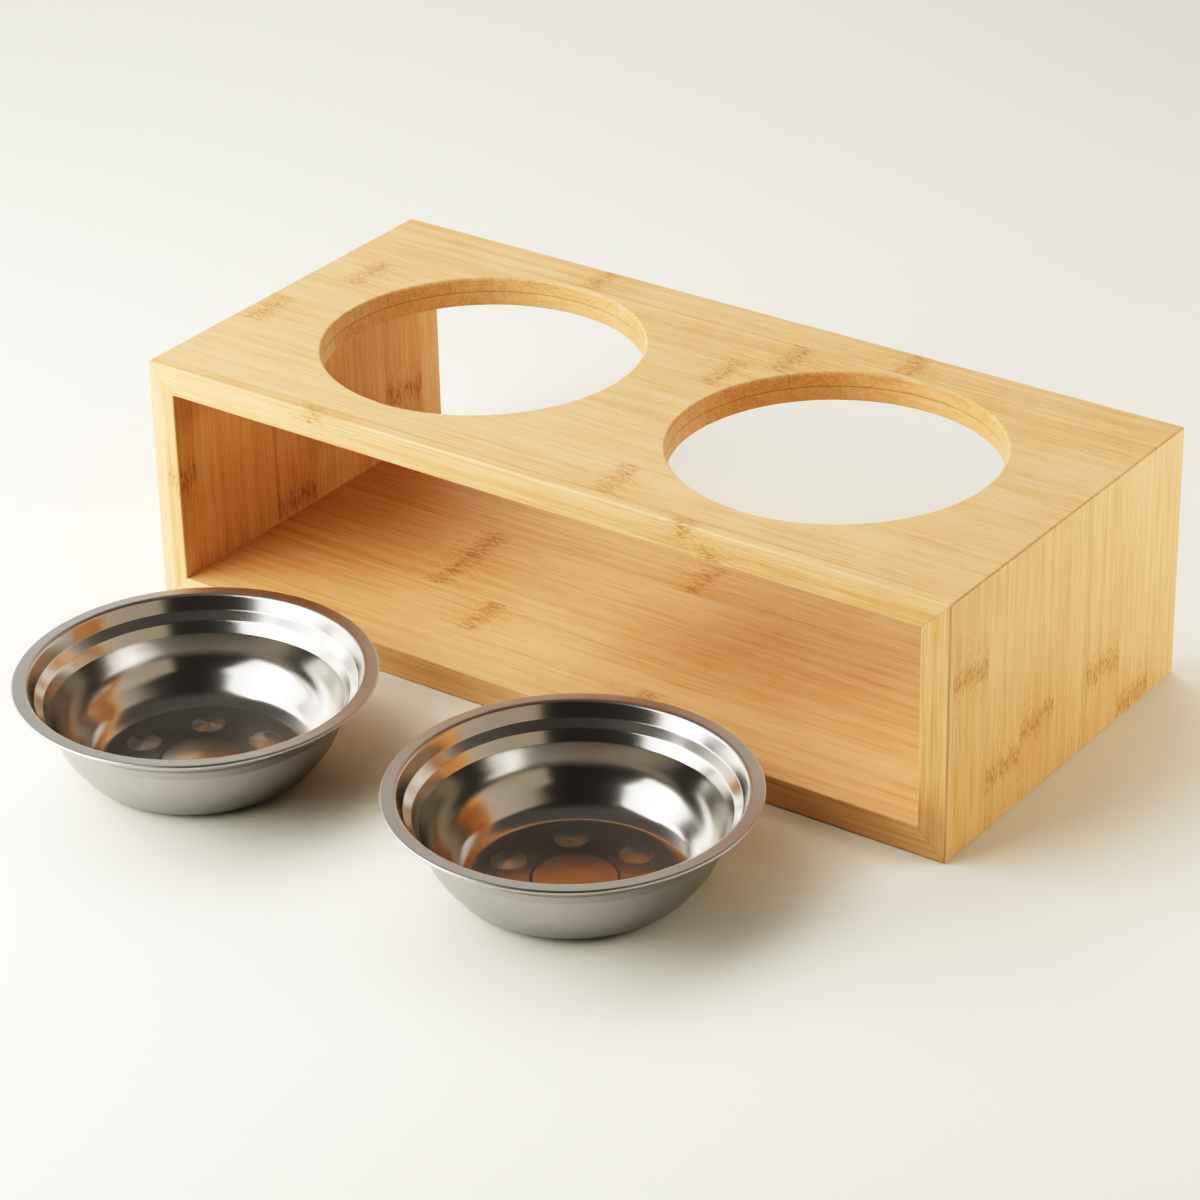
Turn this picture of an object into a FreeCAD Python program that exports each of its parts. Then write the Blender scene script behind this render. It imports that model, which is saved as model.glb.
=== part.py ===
"""Double bowl stand: a mitred bamboo frame with two round holes, and two pressed steel bowls.

Millimetres. +X runs along the stand to the right, +Y to its back, +Z up.
The origin is the centre of the stand's underside, on the surface it stands on.
"""
import FreeCAD, Part
import math
import os
from FreeCAD import Vector

# Stand
length = 400.0
depth = 184.0
height = 115.0
board = 13.3
hole_spacing = 179.5
edge_ease = 1.0
bay_edge_ease = 0.7
hole_top_ease = 1.3
hole_under_ease = 0.8

# Dowels across each mitre
dowel_diameter = 5.0
dowel_length = 14.0
dowel_count = 3
dowel_chamfer = 0.5
dowel_end_inset = 27.0
dowel_from_inner_corner = 6.6
dowel_side_clearance = 0.05
dowel_end_clearance = 0.4

# Bowls
rim_diameter = 149.0
bowl_height = 41.0
sheet = 0.6
rim_width = 7.7
rim_inner_bend = 2.0
hem_width = 3.2
hem_bend = 0.2
collar_height = 3.6
collar_draft = 0.2
flare_width = 1.9
flare_drop = 3.6
flare_bend = 6.0
riser_height = 3.0
riser_draft = 0.3
riser_top_bend = 1.2
riser_foot_bend = 2.0
ledge_width = 3.5
ledge_drop = 3.15
ledge_bend = 1.2
wall_waist_radius = 55.8
wall_waist_height = 13.3
wall_waist_bend = 30.2
wall_foot_radius = 46.8
wall_foot_bend = 14.8
boss_radius = 16.5
boss_rise = 0.8
boss_slope = 1.0
boss_bend = 0.5
pip_count = 6
pip_circle_radius = 29.0
pip_radius = 6.2
pip_tip_radius = 0.6
pip_height = 0.8
bowl_in_hole_clearance = 2.1

# Where the bowls stand, off the stand's front face
left_bowl_x = -95.0
left_bowl_gap = 24.7
left_pip_turn = 5.0
right_bowl_x = 85.3
right_bowl_gap = 13.5
right_pip_turn = 8.6

# Worked out from the sizes above
rim_radius = rim_diameter / 2
collar_radius = rim_radius - rim_width + sheet
hem_height = 2 * (hem_bend + sheet)
hole_radius = collar_radius + bowl_in_hole_clearance
hole_centres = (-hole_spacing / 2, hole_spacing / 2)
front = -depth / 2
tolerance = 1e-6
UP = Vector(0, 0, 1)


def is_bay_mouth(edge):
    """True for an edge where the bay opens into the front or the back face."""
    in_face = all(abs(abs(v.Y) - depth / 2) < tolerance for v in edge.Vertexes)
    inside_x = all(abs(v.X) < length / 2 - board / 2 for v in edge.Vertexes)
    inside_z = all(board / 2 < v.Z < height - board / 2 for v in edge.Vertexes)
    return in_face and inside_x and inside_z


def frame_ring():
    """The four boards as one ring with its edges eased, before the mitres part it."""
    outside = Part.makeBox(length, depth, height, Vector(-length / 2, front, 0))
    bay_corner = Vector(-length / 2 + board, front, board)
    bay = Part.makeBox(length - 2 * board, depth, height - 2 * board, bay_corner)
    ring = outside.makeFillet(edge_ease, outside.Edges).cut(bay)
    mouths = [edge for edge in ring.Edges if is_bay_mouth(edge)]
    return ring.makeFillet(bay_edge_ease, mouths)


def mitre_wedge(corner_a, corner_b):
    """Prism that keeps one board, from two outer corners past its inner face into the bay.

    Corners are signs along X and Z, and each mitre halves its corner at 45 degrees.
    """
    past_board = 2 * board
    outer = []
    inner = []
    for sign_x, sign_z in (corner_a, corner_b):
        corner = Vector(sign_x * length / 2, front, height / 2 + sign_z * height / 2)
        outer.append(corner)
        inner.append(corner - Vector(sign_x, 0, sign_z) * past_board)
    outline = outer + inner[::-1] + outer[:1]
    return Part.Face(Part.makePolygon(outline)).extrude(Vector(0, depth, 0))


def bowl_hole(x):
    """Cutter for one bowl hole, flared at both mouths so that their edges come out rounded."""
    under = height - board
    wall_low = under + hole_under_ease
    wall_high = height - hole_top_ease
    low_mid = hole_under_ease * (1 - math.sqrt(0.5))
    top_mid = hole_top_ease * (1 - math.sqrt(0.5))
    low_mouth = Vector(hole_radius + hole_under_ease, 0, under)
    low_wall = Vector(hole_radius, 0, wall_low)
    high_wall = Vector(hole_radius, 0, wall_high)
    high_mouth = Vector(hole_radius + hole_top_ease, 0, height)
    edges = [
        Part.makeLine(Vector(0, 0, under), low_mouth),
        Part.Arc(low_mouth, Vector(hole_radius + low_mid, 0, under + low_mid), low_wall).toShape(),
        Part.makeLine(low_wall, high_wall),
        Part.Arc(high_wall, Vector(hole_radius + top_mid, 0, height - top_mid), high_mouth).toShape(),
        Part.makeLine(high_mouth, Vector(0, 0, height)),
        Part.makeLine(Vector(0, 0, height), Vector(0, 0, under)),
    ]
    cutter = Part.Face(Part.Wire(edges)).revolve(Vector(0, 0, 0), UP, 360)
    cutter.translate(Vector(x, 0, 0))
    return cutter


def dowel_seats(sign_x, sign_z):
    """Middle points of one corner's dowels on its mitre, and the direction they lie in."""
    setback = dowel_from_inner_corner / math.sqrt(2)
    x = sign_x * (length / 2 - board + setback)
    z = height / 2 + sign_z * (height / 2 - board + setback)
    pitch = (depth - 2 * dowel_end_inset) / (dowel_count - 1)
    middles = [Vector(x, front + dowel_end_inset + i * pitch, z) for i in range(dowel_count)]
    across = Vector(sign_x, 0, -sign_z).normalize()
    return middles, across


def dowel_holes(sign_x, sign_z):
    """Blind holes for one corner's dowels, with room at their sides and ends for glue."""
    middles, across = dowel_seats(sign_x, sign_z)
    radius = dowel_diameter / 2 + dowel_side_clearance
    run = dowel_length + 2 * dowel_end_clearance
    return [Part.makeCylinder(radius, run, middle - across * run / 2, across) for middle in middles]


def dowels(sign_x, sign_z):
    """One corner's dowels, with their ends chamfered."""
    middles, across = dowel_seats(sign_x, sign_z)
    radius = dowel_diameter / 2
    pins = []
    for middle in middles:
        pin = Part.makeCylinder(radius, dowel_length, middle - across * dowel_length / 2, across)
        rims = [edge for edge in pin.Edges if isinstance(edge.Curve, Part.Circle)]
        pins.append(pin.makeChamfer(dowel_chamfer, rims))
    return Part.makeCompound(pins)


def boards():
    """The four mitred boards, drilled for the dowels and, on top, for the bowls."""
    ring = frame_ring()
    corners = {
        "top_board": ((-1, 1), (1, 1)),
        "bottom_board": ((1, -1), (-1, -1)),
        "left_side_board": ((-1, -1), (-1, 1)),
        "right_side_board": ((1, 1), (1, -1)),
    }
    made = {}
    for name, (corner_a, corner_b) in corners.items():
        solid = ring.common(mitre_wedge(corner_a, corner_b))
        solid = solid.cut(dowel_holes(*corner_a) + dowel_holes(*corner_b))
        if name == "top_board":
            solid = solid.cut([bowl_hole(x) for x in hole_centres])
        made[name] = solid
    return made


def offset_corners(corners, distance):
    """Corners of a path moved to its left by a distance, with square ends."""
    lines = []
    for (a, _), (b, _) in zip(corners, corners[1:]):
        along = (b - a).normalize()
        left = Vector(-along.z, 0, along.x)
        lines.append((a + left * distance, along))
    moved = [lines[0][0]]
    for (p, u), (q, w) in zip(lines, lines[1:]):
        cross = u.x * w.z - u.z * w.x
        step = ((q.x - p.x) * w.z - (q.z - p.z) * w.x) / cross
        moved.append(p + u * step)
    last_point, last_along = lines[-1]
    run = (corners[-1][0] - corners[-2][0]).Length
    moved.append(last_point + last_along * run)
    return moved


def bent_path(points, radii):
    """Edges along straight runs, with a tangent arc of its radius at each inner point.

    A run that its two arcs use up, as in the fold of the hem, leaves no straight edge.
    """
    edges = []
    here = points[0]
    for before, corner, after, radius in zip(points, points[1:], points[2:], radii):
        into = (corner - before).normalize()
        out = (after - corner).normalize()
        turn = into.getAngle(out)
        reach = radius * math.tan(turn / 2)
        arc_start = corner - into * reach
        arc_end = corner + out * reach
        bisector = (out - into).normalize()
        sagitta = radius / math.cos(turn / 2) - radius
        if (arc_start - here).Length > tolerance:
            edges.append(Part.makeLine(here, arc_start))
        edges.append(Part.Arc(arc_start, corner + bisector * sagitta, arc_end).toShape())
        here = arc_end
    edges.append(Part.makeLine(here, points[-1]))
    return edges


def sheet_section(corners):
    """Section of bent sheet: a path of (point, inside bend radius), thickened to its left."""
    right = [point for point, _ in corners]
    left = offset_corners(corners, sheet)
    right_radii = []
    left_radii = []
    for before, (corner, bend), after in zip(right, corners[1:-1], right[2:]):
        into = corner - before
        out = after - corner
        turns_left = into.x * out.z - into.z * out.x > 0
        right_radii.append(bend + sheet if turns_left else bend)
        left_radii.append(bend if turns_left else bend + sheet)
    outline = bent_path(right, right_radii)
    outline.append(Part.makeLine(right[-1], left[-1]))
    outline += bent_path(left[::-1], left_radii[::-1])
    outline.append(Part.makeLine(left[0], right[0]))
    return Part.Face(Part.Wire(Part.__sortEdges__(outline)))


def bowl_shell():
    """Bowl turned from its section: boss, flat floor, wall, two steps, collar, rim and hem."""
    under_rim = bowl_height - sheet
    fold = rim_radius - sheet
    hem_top = bowl_height - hem_height + sheet
    collar_foot = Vector(collar_radius - collar_draft, 0, under_rim - collar_height)
    flare_foot = collar_foot - Vector(flare_width, 0, flare_drop)
    riser_foot = flare_foot - Vector(riser_draft, 0, riser_height)
    ledge_foot = riser_foot - Vector(ledge_width, 0, ledge_drop)
    corners = [
        (Vector(0, 0, boss_rise), 0),
        (Vector(boss_radius, 0, boss_rise), boss_bend),
        (Vector(boss_radius + boss_slope, 0, 0), boss_bend),
        (Vector(wall_foot_radius, 0, 0), wall_foot_bend),
        (Vector(wall_waist_radius, 0, wall_waist_height), wall_waist_bend),
        (ledge_foot, ledge_bend),
        (riser_foot, riser_foot_bend),
        (flare_foot, riser_top_bend),
        (collar_foot, flare_bend),
        (Vector(collar_radius, 0, under_rim), rim_inner_bend),
        (Vector(fold, 0, under_rim), hem_bend),
        (Vector(fold, 0, hem_top), hem_bend),
        (Vector(rim_radius - hem_width, 0, hem_top), 0),
    ]
    return sheet_section(corners).revolve(Vector(0, 0, 0), UP, 360)


def pip(angle, base_z):
    """One cone of the ring of pips in a bowl's floor, on a given level."""
    angle = math.radians(angle)
    foot = Vector(pip_circle_radius * math.cos(angle), pip_circle_radius * math.sin(angle), base_z)
    return Part.makeCone(pip_radius, pip_tip_radius, pip_height, foot, UP)


def bowl(x, gap, pip_turn):
    """A bowl with its pips pressed up through the floor, standing in front of the stand."""
    angles = [pip_turn + i * 360 / pip_count for i in range(pip_count)]
    solid = bowl_shell().fuse([pip(angle, sheet) for angle in angles])
    solid = solid.cut([pip(angle, 0) for angle in angles]).removeSplitter()
    solid.translate(Vector(x, front - gap - rim_radius, 0))
    return solid


def pieces():
    """Every piece of the stand by its name."""
    made = boards()
    made["top_left_dowels"] = dowels(-1, 1)
    made["top_right_dowels"] = dowels(1, 1)
    made["bottom_left_dowels"] = dowels(-1, -1)
    made["bottom_right_dowels"] = dowels(1, -1)
    made["left_bowl"] = bowl(left_bowl_x, left_bowl_gap, left_pip_turn)
    made["right_bowl"] = bowl(right_bowl_x, right_bowl_gap, right_pip_turn)
    return made


os.makedirs("parts", exist_ok=True)
for node, shape in pieces().items():
    shape.exportStep("parts/" + node + ".step")
    print(node, len(shape.Solids), "solids, valid", shape.isValid(), "volume", round(shape.Volume, 1))
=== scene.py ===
import math

import bmesh
import bpy
from mathutils import Matrix, Quaternion, Vector


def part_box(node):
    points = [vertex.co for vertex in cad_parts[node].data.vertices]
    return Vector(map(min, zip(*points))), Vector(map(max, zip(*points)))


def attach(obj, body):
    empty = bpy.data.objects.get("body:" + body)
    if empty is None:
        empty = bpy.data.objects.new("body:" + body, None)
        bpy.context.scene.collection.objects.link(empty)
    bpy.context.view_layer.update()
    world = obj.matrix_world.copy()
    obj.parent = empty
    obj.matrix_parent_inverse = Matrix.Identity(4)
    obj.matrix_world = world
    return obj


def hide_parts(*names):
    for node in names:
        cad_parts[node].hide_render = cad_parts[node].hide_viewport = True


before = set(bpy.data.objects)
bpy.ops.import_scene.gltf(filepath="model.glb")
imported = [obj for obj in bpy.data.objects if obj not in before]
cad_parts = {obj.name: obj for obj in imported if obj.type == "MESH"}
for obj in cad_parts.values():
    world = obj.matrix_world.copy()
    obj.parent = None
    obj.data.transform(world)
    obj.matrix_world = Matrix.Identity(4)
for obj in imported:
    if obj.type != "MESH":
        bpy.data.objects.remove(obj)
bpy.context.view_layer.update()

mm = 0.001
tiny = 1e-6

# Camera, solved from the stand's corners in the photograph
eye = (0.8989, -1.2767, 0.8592)
heading = 36.058
pitch = -28.336
roll = -1.286
focal_px = 4135.1
image_px = 1200
sensor_mm = 36.0
far_clip = 50.0

# Floor
floor_radius = 6.0
floor_segments = 96
floor_colour = (0.89, 0.868, 0.755)
floor_roughness = 0.9

# Response of the photograph's film: output = gain * x^n / (x^n + middle^n)
film_gain = 1.15
film_contrast = 1.9
film_middle = 0.6
film_white = 8.0
film_points = 24
film_spacing = 2.5

# Lamps: place, facing, width and height, watts and colour
white = (1, 1, 1)
tan = (1, 0.87, 0.70)
warm = (1, 0.87, 0.65)
softbox_facing = (0.318, 0.646, -0.694)
lamps = {
    "softbox": ((-0.669, -0.440, 0.189), softbox_facing, (0.85, 0.55), 3.1, white),
    "softbox_edge": ((-0.300, -0.609, 0.201), softbox_facing, (0.345, 0.58), 1.35, white),
    "key": ((-0.373, -0.497, 0.847), (0.73, 0.619, -0.291), (1.13, 1.07), 6.0, white),
    "reflector": ((0.95, -0.1, 0.45), (-1, 0, 0), (1.35, 0.9), 1.8, tan),
    "warm_fill": ((0.9, 0.42, 0.42), (-1, -0.35, 0), (1.0, 0.8), 1.9, warm),
    "key_spill": ((-0.5, -0.62, 0.55), (0.6, 0.68, -0.3), (1.0, 0.8), 7.7, white),
    "front_left": ((-0.9, -1.0, 0.3), (0.67, 0.74, 0), (1.0, 0.5), 9.2, white),
    "left": ((-1.8, 0.3, 1.0), (1, 0, -0.4), (2.0, 1.5), 5.7, white),
    "over_left": ((-1.0, 0.6, 1.8), (0.4, -0.2, -1), (2.0, 2.0), 18.5, white),
    "back_left": ((-1.1, 1.25, 1.7), (0.55, -0.62, -0.8), (2.0, 1.4), 14.0, white),
    "right_card": ((0.65, 0.3, 0.25), (-0.9, -0.4, -0.1), (0.5, 0.4), 2.8, white),
}
# These are there for reflections alone, and the others are left out of reflections
mirrored_lamps = ("softbox", "softbox_edge", "reflector")
lamp_lean = {"softbox": 3.0, "softbox_edge": -16.0}

# Room as the camera and as reflections see it, with the directions and ranges of its parts
camera_white = (1.2, 1.19, 1.15)
backdrop_white = (1.0, 0.98, 0.93)
backdrop_toward = (-0.45, 0.89)
backdrop_sides = (-0.1, 0.6)
backdrop_top = (0.4, 0.8)
room_grey = (0.17, 0.16, 0.15)
camera_side_grey = (0.06, 0.056, 0.05)
camera_side_toward = (0.58, -0.81)
camera_side_range = (0.2, 0.7)

# Boards, in millimetres
stand_length = 400.0
stand_depth = 184.0
stand_height = 115.0
board = 13.3
strip_width = 26.5
board_middles = {
    "top_board": stand_height - board / 2,
    "bottom_board": board / 2,
    "left_side_board": -(stand_length - board) / 2,
    "right_side_board": (stand_length - board) / 2,
}

# Bamboo colours
pale_bamboo = (0.775, 0.50, 0.265)
deep_bamboo = (0.60, 0.315, 0.118)
knuckle_brown = (0.36, 0.17, 0.055)
# This brown is used for the glue lines and also for the painted shade under the routing step in the
# hole walls
seam_and_step_shade_brown = (0.36, 0.18, 0.06)
end_brown = (0.48, 0.27, 0.10)

# Strips of each board: the first seam along Y, then each strip's depth of tone and its one or two
# knuckles along the grain
strips = {
    "top_board": (-113.5, (
        (0.40, 76.0, -112.0), (0.50, 33.0), (0.42,), (0.48, -191.0), (0.45,), (0.40, -177.0, 12.6),
        (0.55, 30.0), (0.50, -86.0, 76.6))),
    "bottom_board": (-114.5, (
        (0.50,), (0.40, 40.0), (0.35, -59.0), (0.50, -95.0), (0.50, -96.0), (0.58, 3.0),
        (0.50, 120.0), (0.42, -40.0))),
    "right_side_board": (-115.6, (
        (0.50,), (0.55, 76.5), (0.45, 23.6), (0.50, 32.4), (0.58,), (0.45, 31.4),
        (0.32, 5.7), (0.40,))),
    "left_side_board": (-107.5, (
        (0.90, 61.0), (0.45,), (0.55, 95.0), (0.42, 20.0), (0.50,), (0.45, 8.0),
        (0.60, 42.0), (0.30,))),
}

# Lower ply: how far its seams are moved, in strips, and where its knuckles and tones may lie
lower_seam_shift = 0.43
lower_knuckle_run = 1.4 * stand_length
lower_tone = 0.9

# Grain: how far it is moved along from strip to strip, ply to ply and board to board, how it is drawn
# out along the board, and the scale, detail and roughness of each noise in it
strip_shift = 37.0
ply_shift = 191.0
board_shift = 57.0
fibre_stretch = 0.02
broad_stretch = 0.5
bundle_scale = 1.1
bundle_range = (0.15, 0.7)
fine_noise = (1.8, 3.0, 0.65)
streak_noise = (0.7, 2.0, 0.6)
broad_noise = (0.24, 3.0, 0.6)
cloud_noise = (0.03, 2.0, 0.5)

# How much each part of the grain deepens the colour
base_depth = 0.16
tone_depth = 0.6
bundle_depth = -0.22
fine_depth = 2.3
streak_depth = 0.6
broad_depth = 1.5
cloud_depth = 0.5
halo_depth = 0.42

# Knuckles
knuckle_slant = 6.0
knuckle_sway = 10.0
sway_stretch = 0.03
sway_noise = (0.2, 2.0, 0.6)
core_range = (1.0, 8.0)
halo_range = (5.0, 30.0)
dash_stretch = 0.22
dash_noise = (1.4, 2.0, 0.6)
dash_range = (0.44, 0.62)
dash_dark = 0.55
core_dark = 0.14

# Sawn ends
end_range = (0.2, 0.95)
end_dark = 0.18
pore_scale = 1.5
pore_range = (0.10, 0.50)
pore_dark = 0.9
lower_end_share = 0.65

# Glue lines, with the distances over which they fade, and the painted shade under the routing step on
# the ply line in the hole walls
seam_range = (0.08, 0.30)
seam_broken = (0.40, 0.65)
seam_dark = (0.05, 0.5)
# The ply line is glue line everywhere. Away from the front and back edges, in the hole walls, it is
# darker as painted shade under the small step the routing left.
ply_range = (0.10, 0.34)
ply_edge = (stand_depth / 2 - 1.5, stand_depth / 2 - 0.5)
ply_line_and_step_shade_levels = (0.7, 0.15)
mitre_range = (0.05, 0.28)
mitre_dark = 0.5

# Small dark flecks in the top, by X, Y and radius
flecks = ((185.0, 63.0, 0.5), (192.0, 60.0, 0.55), (-1.5, -25.6, 0.6))
fleck_core = 0.5
fleck_dark = 0.9

# Bamboo's surface
bamboo_roughness = 0.42
bundle_roughness = 0.08
scar_roughness = 0.15
bundle_height = 0.5
fine_height = 0.5
scar_height = -1.0
line_height = -1.5
sawn_height = -0.8
bamboo_bump = 0.3
bamboo_relief = 0.05 * mm

# Dowels
pale_birch = (0.74, 0.56, 0.36)
deep_birch = (0.60, 0.41, 0.22)
birch_noise = (0.8, 3.0, 0.6)
birch_range = (0.35, 0.7)
birch_roughness = 0.6

# Bowl section, in millimetres, with the steps of the wall as the photograph shows them
rim_radius = 74.5
bowl_height = 41.0
sheet = 0.6
rim_width = 6.4
rim_inner_bend = 1.2
hem_width = 3.2
hem_bend = 0.2
collar_height = 6.1
collar_draft = 2.5
collar_foot_bend = 0.9
ledge_width = 3.4
ledge_drop = 3.3
ledge_bend = 1.3
riser_height = 4.4
riser_draft = 2.4
riser_foot_bend = 0.4
wall_waist_radius = 56.9
wall_waist_height = 14.5
wall_waist_bend = 25.8
wall_foot_radius = 45.8
wall_foot_bend = 11.8
boss_radius = 16.5
boss_rise = 0.8
boss_slope = 1.0
boss_bend = 0.5

# Pips in the bowl's floor, in millimetres and degrees
pip_count = 6
pip_circle_radius = 29.0
pip_radius = 6.2
pip_height = 0.55
pip_tip_radius = 0.6
pip_tip_bend = 0.8
pip_foot_bend = 2.5
pip_skirt = 1.0
pip_turned_radius = pip_radius + 0.5
pip_turn = {"left_bowl": 5.0, "right_bowl": 8.6}

# Fineness of the bowl's mesh, and where its rim's finish begins
bowl_segments = 288
pip_segments = 72
arc_step = math.radians(5)
straight_step = 1.0
rim_finish_radius = rim_radius - rim_width - 0.1
rim_finish_height = bowl_height - 2.0

# Steel, with a little haze from fine scratches
steel_metallic = 0.955
inside_steel = (0.68, 0.66, 0.62)
rim_steel = (0.57, 0.555, 0.53)
outside_steel = (0.505, 0.495, 0.50)
mark_stretch = 2.0
mark_noise = (3.5, 3.0, 0.7)
mark_tint = 0.05
mark_roughness = 0.10
mark_relief = 0.02 * mm
wear_noise = (0.05, 4.0, 0.6)
wear_roughness = 0.10
least_roughness = 0.03

# Finishes of the bowl: name, colour, roughness, strength of the marks and anisotropy
finishes = (
    ("polished", inside_steel, 0.18, 0.03, 0.2),
    ("satin_rim", rim_steel, 0.33, 0.05, 0.3),
    ("brushed", outside_steel, 0.34, 0.10, 0.4),
    ("turned_pip", inside_steel, 0.30, 0.03, 0.9),
)
polished, satin_rim, brushed, turned_pip = range(len(finishes))


def look_from_photo():
    """Camera with the photograph's place, angle and lens."""
    data = bpy.data.cameras.new("camera")
    data.sensor_width = sensor_mm
    data.lens = sensor_mm * focal_px / image_px
    data.clip_end = far_clip
    camera = bpy.data.objects.new("camera", data)
    turn = Matrix.Rotation(math.radians(heading), 4, "Z")
    tip = Matrix.Rotation(math.radians(90 + pitch), 4, "X")
    lean = Matrix.Rotation(math.radians(roll), 4, "Z")
    camera.matrix_world = Matrix.Translation(eye) @ turn @ tip @ lean
    bpy.context.scene.collection.objects.link(camera)
    bpy.context.scene.camera = camera


def new_piece(name, mesh, *materials):
    """Mesh object in the scene with its materials."""
    piece = bpy.data.objects.new(name, mesh)
    for material in materials:
        mesh.materials.append(material)
    bpy.context.scene.collection.objects.link(piece)
    return piece


class Net:
    """Short way to lay out the nodes of one material or world."""

    def __init__(self, owner):
        owner.use_nodes = True
        self.tree = owner.node_tree

    def add(self, kind, **settings):
        """New node with its settings."""
        made = self.tree.nodes.new("ShaderNode" + kind)
        for key, value in settings.items():
            setattr(made, key, value)
        return made

    def put(self, socket, value):
        """Link a value to a socket, or set it there if it is plain."""
        if isinstance(value, bpy.types.NodeSocket):
            self.tree.links.new(value, socket)
        else:
            socket.default_value = value

    def math(self, operation, *values, clamp=False):
        made = self.add("Math", operation=operation, use_clamp=clamp)
        for socket, value in zip(made.inputs, values):
            self.put(socket, value)
        return made.outputs[0]

    def times(self, a, b):
        return self.math("MULTIPLY", a, b)

    def total(self, *values):
        result = values[0]
        for value in values[1:]:
            result = self.math("ADD", result, value)
        return result

    def about(self, share, size):
        """Share from 0 to 1 made into a size to either side of zero."""
        return self.times(self.math("SUBTRACT", share, 0.5), size)

    def apart(self, a, b):
        return self.math("ABSOLUTE", self.math("SUBTRACT", a, b))

    def length(self, x, y):
        return self.math("SQRT", self.math("ADD", self.times(x, x), self.times(y, y)))

    def toward(self, x, y, direction):
        """How far a place lies in a level direction."""
        return self.math("ADD", self.times(x, direction[0]), self.times(y, direction[1]))

    def vector(self, x, y, z):
        made = self.add("CombineXYZ")
        for socket, value in zip(made.inputs, (x, y, z)):
            self.put(socket, value)
        return made.outputs[0]

    def split(self, vector):
        made = self.add("SeparateXYZ")
        self.put(made.inputs[0], vector)
        return made.outputs

    def ease(self, value, start, end, low=0.0, high=1.0):
        """Smooth step of a value from one level to another."""
        made = self.add("MapRange", interpolation_type="SMOOTHSTEP")
        for key, number in zip(("Value", "From Min", "From Max", "To Min", "To Max"),
                               (value, start, end, low, high)):
            self.put(made.inputs[key], number)
        return made.outputs["Result"]

    def fade(self, value, start, end, most=1.0):
        """Smooth step down to nothing."""
        return self.ease(value, start, end, most, 0.0)

    def mix(self, factor, a, b):
        """Mix of two colours, which are the node's sockets 6 and 7 and its output 2."""
        made = self.add("Mix", data_type="RGBA")
        self.put(made.inputs["Factor"], factor)
        for socket, colour in zip(made.inputs[6:8], (a, b)):
            self.put(socket, colour if isinstance(colour, bpy.types.NodeSocket) else (*colour, 1))
        return made.outputs[2]

    def between(self, factor, a, b):
        """Mix of two numbers, which are the node's sockets 2 and 3."""
        made = self.add("Mix", data_type="FLOAT")
        for socket, value in zip((made.inputs[0], made.inputs[2], made.inputs[3]), (factor, a, b)):
            self.put(socket, value)
        return made.outputs[0]

    def noise(self, vector, scale, detail, roughness):
        made = self.add("TexNoise")
        self.put(made.inputs["Vector"], vector)
        for key, number in (("Scale", scale), ("Detail", detail), ("Roughness", roughness)):
            made.inputs[key].default_value = number
        return made.outputs["Fac"]

    def cells(self, vector, scale):
        made = self.add("TexVoronoi")
        self.put(made.inputs["Vector"], vector)
        made.inputs["Scale"].default_value = scale
        return made.outputs["Distance"]

    def chance(self, vector):
        made = self.add("TexWhiteNoise")
        self.put(made.inputs["Vector"], vector)
        return made.outputs

    def bump(self, height, strength, distance):
        made = self.add("Bump")
        self.put(made.inputs["Height"], height)
        made.inputs["Strength"].default_value = strength
        made.inputs["Distance"].default_value = distance
        return made.outputs["Normal"]

    def place(self):
        """Place on the piece along X, Y and Z in millimetres."""
        made = self.add("VectorMath", operation="SCALE")
        self.put(made.inputs[0], self.add("TexCoord").outputs["Object"])
        made.inputs["Scale"].default_value = 1 / mm
        return self.split(made.outputs[0])

    def shader(self, **values):
        made = self.tree.nodes["Principled BSDF"]
        for key, value in values.items():
            self.put(made.inputs[key.replace("_", " ").title()], value)


def paper():
    """White paper floor."""
    material = bpy.data.materials.new("floor_paper")
    net = Net(material)
    net.shader(base_color=(*floor_colour, 1), roughness=floor_roughness)
    return material


def strip_table(net, rows, index):
    """Tone and the two knuckle places of the numbered strip, from the board's rows."""
    reach = 2 * stand_length
    away = -reach / 2
    made = net.add("ValToRGB")
    ramp = made.color_ramp
    ramp.interpolation = "CONSTANT"
    while len(ramp.elements) < len(rows):
        ramp.elements.new(1.0)
    for i, row in enumerate(rows):
        shares = [place / reach + 0.5 for place in (*row[1:], away, away)]
        ramp.elements[i].position = i / len(rows)
        ramp.elements[i].color = (row[0], shares[0], shares[1], 1)
    net.put(made.inputs[0], net.math("DIVIDE", net.math("ADD", index, 0.5), len(rows)))
    tone, first, second = net.split(made.outputs["Color"])
    return tone, net.about(first, reach), net.about(second, reach)


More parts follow.
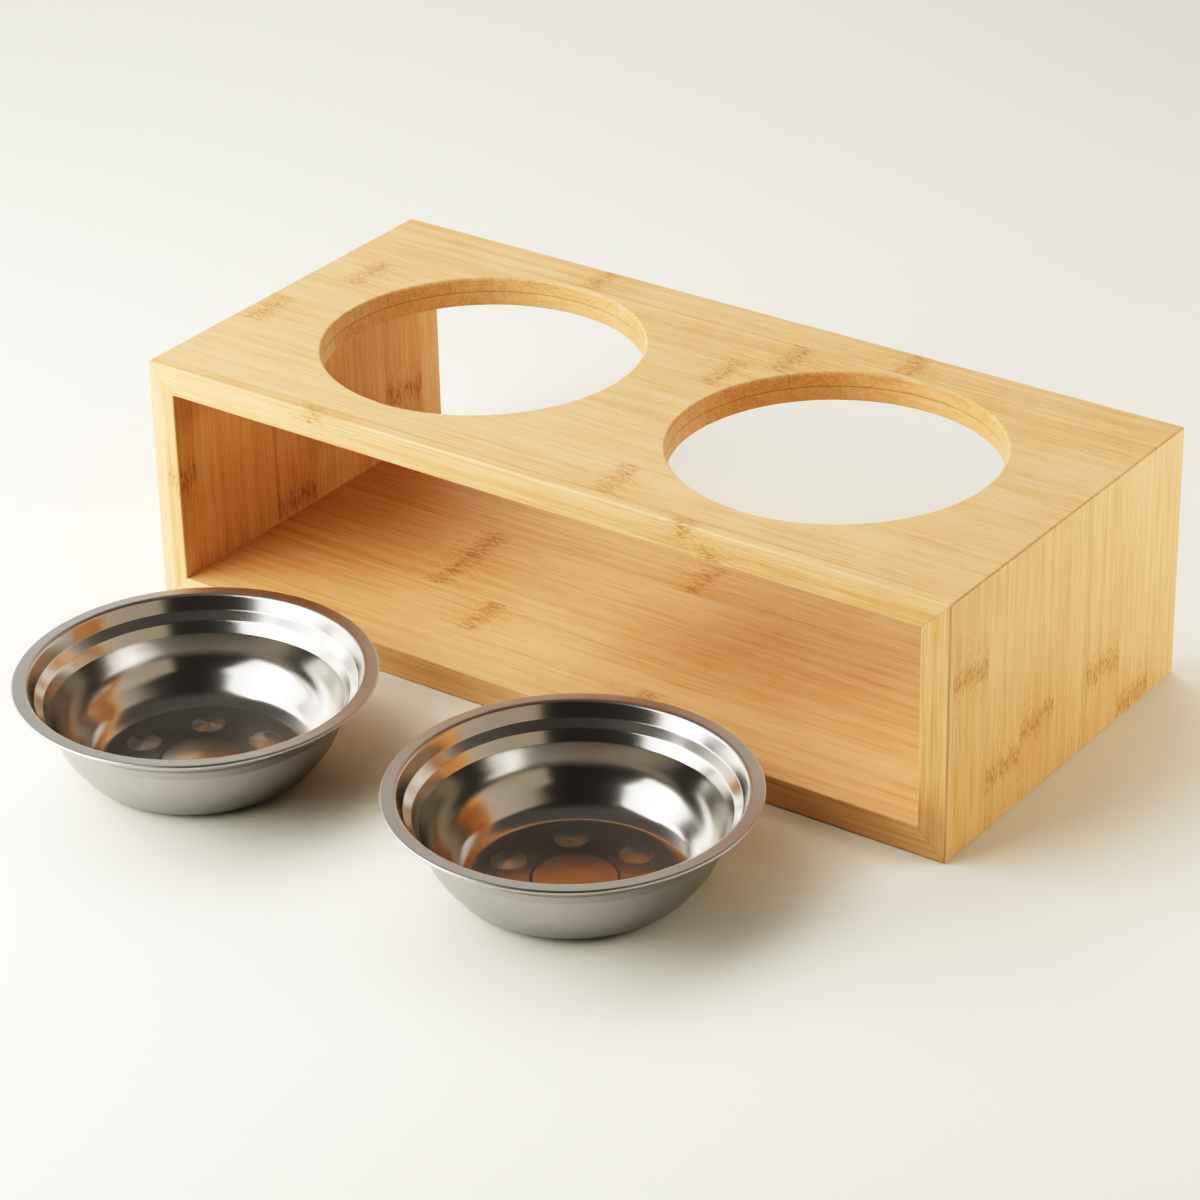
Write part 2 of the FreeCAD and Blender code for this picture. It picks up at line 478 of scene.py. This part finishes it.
class Strips:
    """Where a place lies in its board and in which strip, and what that strip is like."""

    def __init__(self, net, name, seed):
        self.net = net
        self.x, self.y, self.z = net.place()
        upright = "side" in name
        self.along = self.z if upright else self.x
        self.across = self.y
        self.through = self.x if upright else self.z
        facing = net.split(net.add("NewGeometry").outputs["Normal"])
        self.end_on = net.math("ABSOLUTE", facing[2] if upright else facing[0])
        self.depth = net.math("SUBTRACT", self.through, board_middles[name])
        self.lower = net.math("LESS_THAN", self.depth, 0.0)
        self.number(*strips[name])
        self.draw_lower(seed)

    def number(self, first_seam, rows):
        """Number of the strip, the share of the way across it, and its values from the board's rows."""
        net = self.net
        strip = net.math("DIVIDE", net.math("SUBTRACT", self.across, first_seam), strip_width)
        strip = net.math("ADD", strip, net.times(self.lower, lower_seam_shift))
        self.index = net.math("FLOOR", strip)
        self.within = net.math("FRACT", strip)
        self.tone, self.first, self.second = strip_table(net, rows, self.index)

    def draw_lower(self, seed):
        """Values of the lower ply's strips, and the slant of every strip's knuckles, by chance."""
        net = self.net
        luck = net.chance(net.vector(self.index, self.lower, seed))
        guess = net.about(luck["Value"], lower_knuckle_run)
        self.first = net.between(self.lower, self.first, guess)
        self.second = net.between(self.lower, self.second, guess)
        self.tone = net.between(self.lower, self.tone, net.times(luck["Value"], lower_tone))
        self.slant = net.about(net.split(luck["Color"])[1], knuckle_slant)

    def stretched(self, stretch):
        """Place for a pattern that is drawn out along the grain."""
        return self.net.vector(self.net.times(self.along, stretch), self.across, self.through)


class Grain:
    """Bundles of fibres, streaks, bands and clouds, which differ from strip to strip."""

    def __init__(self, net, strip, seed):
        shift = net.total(net.times(strip.index, strip_shift), net.times(strip.lower, ply_shift),
                          seed * board_shift)
        run = net.times(net.math("ADD", strip.along, shift), fibre_stretch)
        broad_run = net.times(run, broad_stretch)
        self.place = net.vector(run, strip.across, strip.through)
        self.bundle = net.ease(net.cells(self.place, bundle_scale), *bundle_range)
        self.fine = net.noise(self.place, *fine_noise)
        self.streak = net.noise(self.place, *streak_noise)
        self.broad = net.noise(net.vector(broad_run, strip.across, strip.through), *broad_noise)
        self.cloud = net.noise(net.vector(strip.along, strip.across, strip.through), *cloud_noise)


def knuckles(net, strip):
    """Scar at each knuckle with its short dark dashes, and the fainter dashes around it."""
    sway = net.about(net.noise(strip.stretched(sway_stretch), *sway_noise), knuckle_sway)
    lean = net.times(strip.slant, net.math("SUBTRACT", strip.within, 0.5))
    here = net.total(strip.along, lean, sway)
    reach = net.math("MINIMUM", net.apart(here, strip.first), net.apart(here, strip.second))
    dash = net.ease(net.noise(strip.stretched(dash_stretch), *dash_noise), *dash_range)
    dark = net.math("ADD", net.times(dash, dash_dark), core_dark)
    scar = net.times(net.fade(reach, *core_range), dark)
    halo = net.times(net.fade(reach, *halo_range), dash)
    return scar, halo


def strip_colour(net, strip, grain, halo):
    """Pale to deep bamboo, by the strip's tone, its grain and the dashes near its knuckles."""
    deep = net.total(
        base_depth,
        net.times(strip.tone, tone_depth),
        net.times(grain.bundle, bundle_depth),
        net.about(grain.fine, fine_depth),
        net.about(grain.streak, streak_depth),
        net.about(grain.broad, broad_depth),
        net.about(grain.cloud, cloud_depth),
        net.times(halo, halo_depth))
    return net.mix(net.math("ADD", deep, 0.0, clamp=True), pale_bamboo, deep_bamboo)


def sawn_end(net, strip, grain):
    """How much of the end grain's brown and its pores shows, on faces that cut the fibres."""
    pores = net.fade(net.cells(grain.place, pore_scale), *pore_range, pore_dark)
    sawn = net.times(net.ease(strip.end_on, *end_range), net.math("ADD", pores, end_dark))
    return net.times(sawn, net.between(strip.lower, 1.0, lower_end_share))


def glue_lines(net, strip, grain):
    """Glue lines between strips, between plies and at the mitres. The ply line is darker in the hole
    walls as painted shade under the routing step.
    """
    edge = net.math("MINIMUM", strip.within, net.math("SUBTRACT", 1.0, strip.within))
    seam = net.fade(net.times(edge, strip_width), *seam_range)
    seam = net.times(seam, net.ease(grain.broad, *seam_broken, *seam_dark))
    # Darker ply line away from the front and back edges: painted shade under the routing step in the
    # hole walls, on top of the glue line
    ply_glue_and_step_shade = net.ease(net.math("ABSOLUTE", strip.across), *ply_edge, *ply_line_and_step_shade_levels)
    ply = net.times(net.fade(net.math("ABSOLUTE", strip.depth), *ply_range), ply_glue_and_step_shade)
    outward = net.math("SUBTRACT", net.math("ABSOLUTE", strip.x), stand_length / 2)
    level = net.math("MINIMUM", strip.z, net.math("SUBTRACT", stand_height, strip.z))
    off_mitre = net.math("ABSOLUTE", net.math("ADD", outward, level))
    mitre = net.fade(off_mitre, *mitre_range, mitre_dark)
    return net.math("MAXIMUM", net.math("MAXIMUM", seam, ply), mitre)


def with_flecks(net, strip, line):
    """Lines with the top's small dark flecks among them."""
    for x, y, radius in flecks:
        off = net.length(net.math("SUBTRACT", strip.x, x), net.math("SUBTRACT", strip.y, y))
        line = net.math("MAXIMUM", line, net.fade(off, fleck_core * radius, radius, fleck_dark))
    return line


def bamboo(name, seed):
    """Two plies of glued bamboo strips, as a solid pattern that runs along the board's grain."""
    material = bpy.data.materials.new("bamboo_" + name)
    net = Net(material)
    strip = Strips(net, name, seed)
    grain = Grain(net, strip, seed)
    scar, halo = knuckles(net, strip)
    sawn = sawn_end(net, strip, grain)
    # Glue lines, with painted shade under the routing step in the hole walls
    line = glue_lines(net, strip, grain)
    if name == "top_board":
        line = with_flecks(net, strip, line)
    colour = strip_colour(net, strip, grain, halo)
    for share, brown in ((scar, knuckle_brown), (sawn, end_brown), (line, seam_and_step_shade_brown)):
        colour = net.mix(share, colour, brown)
    rough = net.total(bamboo_roughness, net.times(grain.bundle, bundle_roughness),
                      net.times(scar, scar_roughness))
    height = net.total(net.times(grain.bundle, bundle_height), net.times(grain.fine, fine_height),
                       net.times(scar, scar_height), net.times(line, line_height),
                       net.times(sawn, sawn_height))
    normal = net.bump(height, bamboo_bump, bamboo_relief)
    net.shader(base_color=colour, roughness=rough, normal=normal)
    return material


def dowel_wood():
    """Plain birch of the dowels, grained along them."""
    material = bpy.data.materials.new("dowel_wood")
    net = Net(material)
    x, y, z = net.place()
    place = net.vector(net.math("ADD", x, z), y, net.math("SUBTRACT", x, z))
    grain = net.ease(net.noise(place, *birch_noise), *birch_range)
    net.shader(base_color=net.mix(grain, pale_birch, deep_birch), roughness=birch_roughness)
    return material


def steel(name, colour, roughness, marking, anisotropy):
    """Stainless steel with fine marks that run along the way it was turned."""
    material = bpy.data.materials.new("steel_" + name)
    net = Net(material)
    x, y, z = net.place()
    angle = net.times(net.math("ARCTAN2", y, x), mark_stretch)
    marks = net.noise(net.vector(net.length(x, y), z, angle), *mark_noise)
    worn = net.noise(net.vector(x, y, z), *wear_noise)
    darker = tuple((1 - mark_tint) * c for c in colour)
    lighter = tuple((1 + mark_tint) * c for c in colour)
    rough = net.total(roughness, net.about(marks, mark_roughness), net.about(worn, wear_roughness))
    turned = net.add("Attribute", attribute_name="turned")
    way = net.add("VectorTransform", vector_type="VECTOR", convert_from="OBJECT", convert_to="WORLD")
    net.put(way.inputs[0], turned.outputs["Vector"])
    net.shader(
        base_color=net.mix(marks, darker, lighter),
        metallic=steel_metallic,
        roughness=net.math("MAXIMUM", rough, least_roughness),
        anisotropic=anisotropy,
        normal=net.bump(marks, marking, mark_relief),
        tangent=way.outputs[0])
    return material


def floor():
    """Round paper floor of the stage."""
    mesh = bpy.data.meshes.new("floor")
    bm = bmesh.new()
    bmesh.ops.create_circle(bm, cap_ends=True, segments=floor_segments, radius=floor_radius)
    bm.to_mesh(mesh)
    bm.free()
    piece = new_piece("floor", mesh, paper())


def offset_points(points, distance):
    """Corners of a path moved to its left by a distance."""
    lines = []
    for a, b in zip(points, points[1:]):
        along = (b - a).normalized()
        left = Vector((-along.y, along.x))
        lines.append((a + left * distance, along))
    moved = [lines[0][0]]
    for (p, u), (q, w) in zip(lines, lines[1:]):
        step = (q - p).cross(w) / u.cross(w)
        moved.append(p + u * step)
    run = (points[-1] - points[-2]).length
    moved.append(lines[-1][0] + lines[-1][1] * run)
    return moved


def rounded_path(points, radii):
    """Path through its corners with an arc of its radius at each, as a list of points."""
    path = [points[0]]
    for before, corner, after, radius in zip(points, points[1:], points[2:], radii):
        into = (corner - before).normalized()
        out = (after - corner).normalized()
        turn = into.angle_signed(out) * -1
        reach = radius * math.tan(abs(turn) / 2)
        side = math.copysign(1, turn)
        left = Vector((-into.y, into.x))
        start = corner - into * reach
        centre = start + left * side * radius
        steps = max(2, math.ceil(abs(turn) / arc_step))
        for i in range(steps + 1):
            arm = start - centre
            arm.rotate(Matrix.Rotation(turn * i / steps, 2))
            path.append(centre + arm)
    path.append(points[-1])
    return path


def bowl_section():
    """Section of the pressed sheet as (inside and rim, underside), each from the middle out."""
    under_rim = bowl_height - sheet
    collar_radius = rim_radius - rim_width + sheet
    fold = rim_radius - sheet
    hem_top = bowl_height - 2 * (hem_bend + sheet) + sheet
    collar_foot = Vector((collar_radius - collar_draft, under_rim - collar_height))
    ledge_edge = collar_foot - Vector((ledge_width, ledge_drop))
    riser_foot = ledge_edge - Vector((riser_draft, riser_height))
    corners = [
        (Vector((0, boss_rise)), 0),
        (Vector((boss_radius, boss_rise)), boss_bend),
        (Vector((boss_radius + boss_slope, 0)), boss_bend),
        (Vector((wall_foot_radius, 0)), wall_foot_bend),
        (Vector((wall_waist_radius, wall_waist_height)), wall_waist_bend),
        (riser_foot, riser_foot_bend),
        (ledge_edge, ledge_bend),
        (collar_foot, collar_foot_bend),
        (Vector((collar_radius, under_rim)), rim_inner_bend),
        (Vector((fold, under_rim)), hem_bend),
        (Vector((fold, hem_top)), hem_bend),
        (Vector((rim_radius - hem_width, hem_top)), 0),
    ]
    under = [point for point, _ in corners]
    upper = offset_points(under, sheet)
    under_radii = []
    upper_radii = []
    for before, (corner, bend), after in zip(under, corners[1:-1], under[2:]):
        turns_left = (corner - before).cross(after - corner) > 0
        under_radii.append(bend + sheet if turns_left else bend)
        upper_radii.append(bend if turns_left else bend + sheet)
    return rounded_path(upper, upper_radii), rounded_path(under, under_radii)


def is_floor(a, b):
    """Whether a run of the section is the flat that the pips stand in."""
    low, high = sorted((a.x, b.x))
    return abs(a.y - b.y) < tiny and low < pip_circle_radius < high


def is_rim(a, b):
    """Whether a run of the section's inside belongs to the rim."""
    return min(a.x, b.x) > rim_finish_radius and min(a.y, b.y) > rim_finish_height


def spaced(path):
    """Path with its straight runs divided, apart from the flat floor that the pips stand in."""
    points = [path[0]]
    for a, b in zip(path, path[1:]):
        steps = max(1, math.ceil((b - a).length / straight_step))
        if is_floor(a, b):
            steps = 1
        for i in range(1, steps + 1):
            points.append(a.lerp(b, i / steps))
    return points


def ring(bm, radius, height, segments, centre=(0, 0)):
    """Closed ring of points about an upright axis, or the one point on it."""
    if radius < tiny:
        return [bm.verts.new((centre[0] * mm, centre[1] * mm, height * mm))]
    made = []
    for i in range(segments):
        angle = 2 * math.pi * i / segments
        x = centre[0] + radius * math.cos(angle)
        y = centre[1] + radius * math.sin(angle)
        made.append(bm.verts.new((x * mm, y * mm, height * mm)))
    return made


def band(bm, inner, outer, material):
    """Faces between two rings."""
    count = max(len(inner), len(outer))
    for i in range(count):
        j = (i + 1) % count
        if len(inner) == 1:
            corners = (inner[0], outer[i], outer[j])
        elif len(outer) == 1:
            corners = (inner[i], outer[0], inner[j])
        else:
            corners = (inner[i], outer[i], outer[j], inner[j])
        bm.faces.new(corners).material_index = material


def loop_edges(bm, points):
    """Edges round a ring of points, made where there are none yet."""
    pairs = zip(points, points[1:] + points[:1])
    return [bm.edges.get(pair) or bm.edges.new(pair) for pair in pairs]


def pip_section():
    """Section of a pip's cone from its tip to its foot, above the floor."""
    corners = [
        Vector((0, pip_height)),
        Vector((pip_tip_radius, pip_height)),
        Vector((pip_radius, 0)),
        Vector((pip_radius + pip_skirt, 0)),
    ]
    return rounded_path(corners, (pip_tip_bend, pip_foot_bend))


def pip_centres(turn):
    """Middles of the pips round the bowl's axis, in millimetres, for a bowl turned by some degrees."""
    angles = [math.radians(turn + 360 * k / pip_count) for k in range(pip_count)]
    return [(pip_circle_radius * math.cos(a), pip_circle_radius * math.sin(a)) for a in angles]


def pipped_floor(bm, inner, outer, level, turn, material):
    """Flat of the bowl's floor between two rings, with its ring of pips."""
    edges = loop_edges(bm, inner) + loop_edges(bm, outer)
    for centre in pip_centres(turn):
        rings = [ring(bm, point.x, level + point.y, pip_segments, centre) for point in pip_section()]
        for a, b in zip(rings, rings[1:]):
            band(bm, a, b, turned_pip if material == polished else material)
        edges += loop_edges(bm, rings[-1])
    filled = bmesh.ops.triangle_fill(bm, use_beauty=True, edges=edges)
    for item in filled["geom"]:
        if isinstance(item, bmesh.types.BMFace):
            item.material_index = material


def mark_turning(mesh, turn):
    """Keep on each point the way that it was turned: round its pip, or round the bowl's axis."""
    centres = [Vector(centre) * mm for centre in pip_centres(turn)]
    turned = mesh.attributes.new("turned", "FLOAT_VECTOR", "POINT")
    for point, mark in zip(mesh.vertices, turned.data):
        place = point.co.xy
        arm = place
        for centre in centres:
            if (place - centre).length < pip_turned_radius * mm:
                arm = place - centre
        mark.vector = Vector((-arm.y, arm.x, 0)).normalized() if arm.length > tiny else (1, 0, 0)


def bowl_mesh(name, turn):
    """The bowl turned about its axis, standing at its own centre."""
    upper, under = bowl_section()
    inside = spaced(upper)
    outline = inside + spaced(under)[::-1]
    mesh = bpy.data.meshes.new(name)
    bm = bmesh.new()
    rings = [ring(bm, point.x, point.y, bowl_segments) for point in outline]
    for i, (a, b) in enumerate(zip(outline, outline[1:])):
        material = brushed
        if i < len(inside) - 1:
            material = satin_rim if is_rim(a, b) else polished
        if is_floor(a, b):
            pipped_floor(bm, rings[i], rings[i + 1], a.y, turn, material)
        else:
            band(bm, rings[i], rings[i + 1], material)
    bmesh.ops.recalc_face_normals(bm, faces=bm.faces)
    for face in bm.faces:
        face.smooth = True
    bm.to_mesh(mesh)
    bm.free()
    mark_turning(mesh, turn)
    return mesh


def bowl(node, steels):
    """Pressed bowl in the place of its CAD node."""
    low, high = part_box(node)
    piece = new_piece(node + "_pressed", bowl_mesh(node, pip_turn[node]), *steels)
    piece.location = ((low[0] + high[0]) / 2, (low[1] + high[1]) / 2, low[2])
    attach(piece, node)
    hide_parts(node)


def bowls():
    """Both bowls, which share their finishes."""
    steels = [steel(*finish) for finish in finishes]
    for node in pip_turn:
        bowl(node, steels)


def boards():
    """Give the frame's boards and dowels their wood."""
    woods = {name: bamboo(name, seed) for seed, name in enumerate(strips)}
    birch = dowel_wood()
    for name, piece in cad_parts.items():
        if "board" not in name and "dowel" not in name:
            continue
        for slot in piece.material_slots:
            slot.material = woods.get(name, birch)


def lamp(name, place, facing, size, power, colour):
    """Rectangular lamp, its width level or leaning by some degrees."""
    data = bpy.data.lights.new(name, "AREA")
    data.shape = "RECTANGLE"
    data.size = size[0]
    data.size_y = size[1]
    data.energy = power
    data.color = colour
    made = bpy.data.objects.new(name, data)
    made.location = place
    lean = Quaternion((0, 0, 1), math.radians(lamp_lean.get(name, 0)))
    turn = Vector(facing).to_track_quat("-Z", "Y") @ lean
    made.rotation_euler = turn.to_euler()
    made.visible_glossy = name in mirrored_lamps
    made.visible_diffuse = name not in mirrored_lamps
    bpy.context.scene.collection.objects.link(made)


def lights():
    """Softbox and tan reflector as the bowls mirror them, and large soft lamps."""
    for name, values in lamps.items():
        lamp(name, *values)


def surroundings():
    """Pale room to the camera, dim room with a bright backdrop to reflections, dark to the rest."""
    world = bpy.data.worlds.new("studio")
    bpy.context.scene.world = world
    net = Net(world)
    x, y, z = net.split(net.add("TexCoord").outputs["Generated"])
    behind = net.ease(net.toward(x, y, backdrop_toward), *backdrop_sides)
    backdrop = net.times(behind, net.fade(z, *backdrop_top))
    camera_side = net.ease(net.toward(x, y, camera_side_toward), *camera_side_range)
    dim = net.mix(camera_side, room_grey, camera_side_grey)
    mirrored = net.mix(backdrop, dim, backdrop_white)
    ray = net.add("LightPath").outputs
    seen = net.mix(ray["Is Camera Ray"], mirrored, camera_white)
    shows = net.math("MAXIMUM", ray["Is Camera Ray"], ray["Is Glossy Ray"])
    net.put(net.tree.nodes["Background"].inputs["Color"], seen)
    net.put(net.tree.nodes["Background"].inputs["Strength"], shows)


def film():
    """Tone response of the photograph, on the curve that acts on all three colours."""
    view = bpy.context.scene.view_settings
    view.view_transform = "Standard"
    view.use_curve_mapping = True
    mapping = view.curve_mapping
    mapping.white_level = (film_white, film_white, film_white)
    mapping.extend = "HORIZONTAL"
    curve = mapping.curves[3]
    for i in range(film_points + 1):
        share = (i / film_points) ** film_spacing
        light = (share * film_white) ** film_contrast
        level = film_gain * light / (light + film_middle ** film_contrast)
        if i == 0:
            curve.points[0].location = (0, 0)
        elif i == film_points:
            curve.points[-1].location = (1, level)
        else:
            curve.points.new(share, level)
    mapping.update()


film()
look_from_photo()
floor()
lights()
surroundings()
bowls()
boards()
